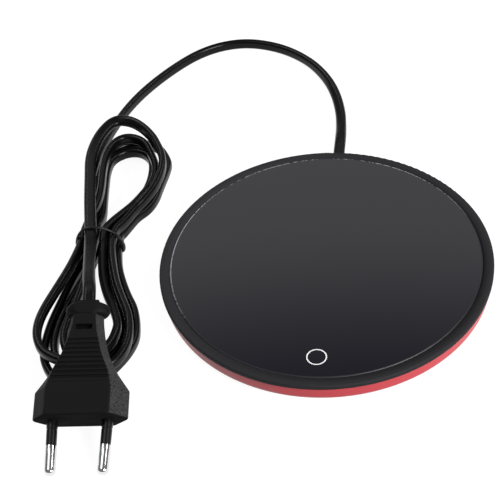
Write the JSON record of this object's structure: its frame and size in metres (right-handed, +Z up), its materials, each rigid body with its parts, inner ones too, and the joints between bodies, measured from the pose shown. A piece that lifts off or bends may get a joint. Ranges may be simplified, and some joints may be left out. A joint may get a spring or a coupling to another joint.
{
  "type": "food warming mat",
  "caption": "Round electric food warming mat: dark glass plate in a black rim on a red dish, one touch key, and a tied flat cord with a round-pin plug.",
  "frame": {"origin": "middle of the mat's foot plane, on the table", "axes": "+Z up out of the glass, -Y toward the touch key, +Y toward the cord exit"},
  "size_m": [0.1689, 0.2537, 0.029],
  "materials": {
    "red_shell": "satin moulded",
    "black_rim": "matte moulded",
    "dark_glass": "polished, back printed dark",
    "white_print": "printed line",
    "silicone": "soft",
    "spreader_aluminium": "rolled",
    "film_amber": "satin film",
    "insulation_felt": "felt",
    "sensor_ceramic": "matte",
    "board_laminate": "satin lacquer",
    "terminal_plastic": "satin",
    "chip_epoxy": "matte",
    "capacitor_case": "gloss",
    "fuse_body": "gloss",
    "led_body": "gloss",
    "conductive_foam": "foam",
    "plated_steel": "zinc plated",
    "foot_rubber": "matte",
    "relief_rubber": "satin",
    "live_insulation": "satin",
    "neutral_insulation": "satin",
    "cord_jacket": "glossy extruded",
    "tie_cover": "satin",
    "plug_moulding": "fine grain",
    "insert_plastic": "matte",
    "pin_plating": "bright nickel",
    "sleeve_plastic": "satin"
  },
  "bodies": {
    "root": {"base_shell": "red_shell", "top_bezel": "black_rim", "glass_panel": "dark_glass", "touch_ring": "white_print", "bezel_gasket": "silicone", "heat_spreader": "spreader_aluminium", "heater_film": "film_amber", "insulation_pad": "insulation_felt", "thermal_cutoff": "sensor_ceramic", "thermistor": "sensor_ceramic", "heater_tails": "film_amber", "control_board": "board_laminate", "mains_terminal": "terminal_plastic", "controller_chip": "chip_epoxy", "triac": "chip_epoxy", "dropper_capacitor": "capacitor_case", "board_fuse": "fuse_body", "status_led": "led_body", "touch_post": "conductive_foam", "case_screws": "plated_steel", "rubber_feet": "foot_rubber", "strain_relief": "relief_rubber", "live_wire": "live_insulation", "neutral_wire": "neutral_insulation", "cord_lead": "cord_jacket", "cord_hank": "cord_jacket", "plug_lead": "cord_jacket", "cord_tie": "tie_cover", "plug_body": "plug_moulding", "pin_bridge": "insert_plastic", "plug_pins": "pin_plating", "pin_sleeves": "sleeve_plastic"}
  },
  "joints": []
}
